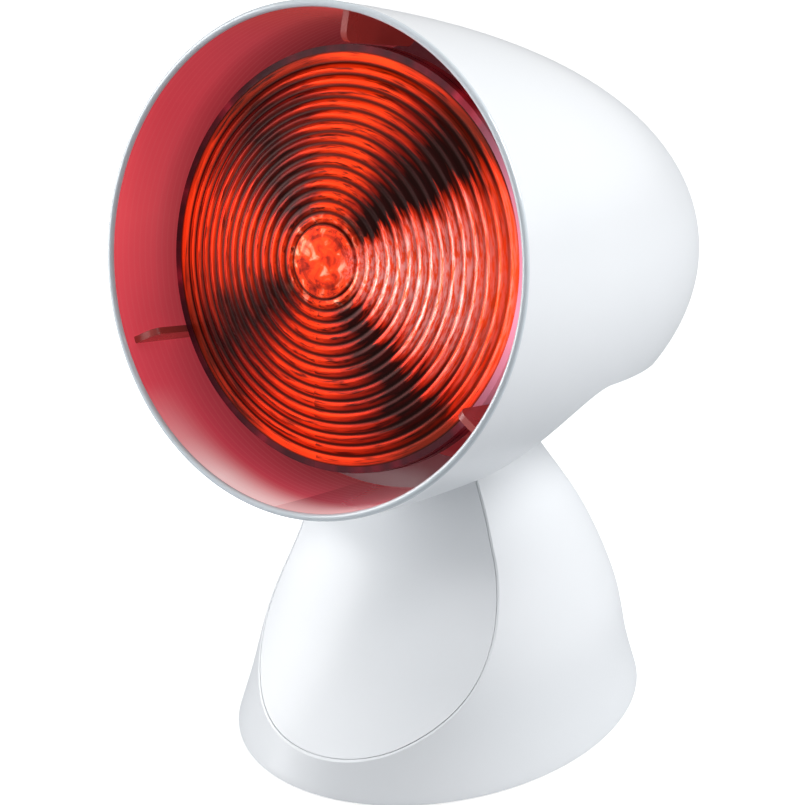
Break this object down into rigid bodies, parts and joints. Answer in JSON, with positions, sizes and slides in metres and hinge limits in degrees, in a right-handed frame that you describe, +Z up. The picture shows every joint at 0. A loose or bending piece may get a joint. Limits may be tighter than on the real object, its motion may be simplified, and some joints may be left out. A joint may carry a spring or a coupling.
{
  "type": "infrared heat therapy lamp",
  "caption": "Tabletop infrared lamp: a bullet-shaped white head with a red reflector lamp tilts on a hinge over an oval foot with a dished front panel.",
  "frame": {"origin": "on the table under the centre of the bounding box, at the underside of the rubber feet", "axes": "+Z up, -Y is the front that the lamp shines to, X is across and is the symmetry axis"},
  "size_m": [0.1436, 0.1963, 0.2362],
  "materials": {
    "white_shell": "gloss white moulded plastic",
    "white_satin": "soft gloss white moulded plastic",
    "inner_white": "matt white moulded plastic",
    "red_lens": "ruby pressed glass with concentric rings",
    "red_bowl": "ruby glass with a mirror coating inside",
    "cap_brass": "thin pressed brass",
    "ceramic": "glazed steatite ceramic",
    "zinc_steel": "zinc-plated steel",
    "washer_fibre": "dark friction fibre",
    "black_plastic": "black moulded plastic",
    "rubber_pad": "soft grey-black rubber"
  },
  "bodies": {
    "foot": {"foot_shell": "white_shell", "front_panel": "white_satin", "base_plate": "inner_white", "base_screw_1": "zinc_steel", "base_screw_2": "zinc_steel", "base_screw_3": "zinc_steel", "base_screw_4": "zinc_steel", "rubber_foot_1": "rubber_pad", "rubber_foot_2": "rubber_pad", "rubber_foot_3": "rubber_pad", "rubber_foot_4": "rubber_pad", "cable_entry": "black_plastic", "switch_housing": "black_plastic"},
    "switch": {"switch_rocker": "black_plastic"},
    "head": {"head_shell": "white_shell", "underside_cover": "inner_white", "tilt_bracket": "zinc_steel", "bracket_screw_left": "zinc_steel", "bracket_screw_right": "zinc_steel", "pivot_pin": "zinc_steel", "pivot_nut": "zinc_steel", "friction_washer_left": "washer_fibre", "friction_washer_right": "washer_fibre", "lamp_lens": "red_lens", "lamp_reflector": "red_bowl", "lamp_cap": "cap_brass", "lampholder": "ceramic", "holder_bracket": "zinc_steel", "holder_screw_left": "zinc_steel", "holder_screw_right": "zinc_steel"}
  },
  "joints": [
    {"name": "head_tilt", "type": "hinge", "parent": "foot", "child": "head", "pos_m": [0, -0.01061, 0.1022], "axis": [-1, 0, 0], "range_deg": [-13.6, 30]},
    {"name": "switch_rock", "type": "hinge", "parent": "foot", "child": "switch", "pos_m": [0, 0.04786, 0.03922], "axis": [1, 0, 0], "range_deg": [0, 14]}
  ]
}
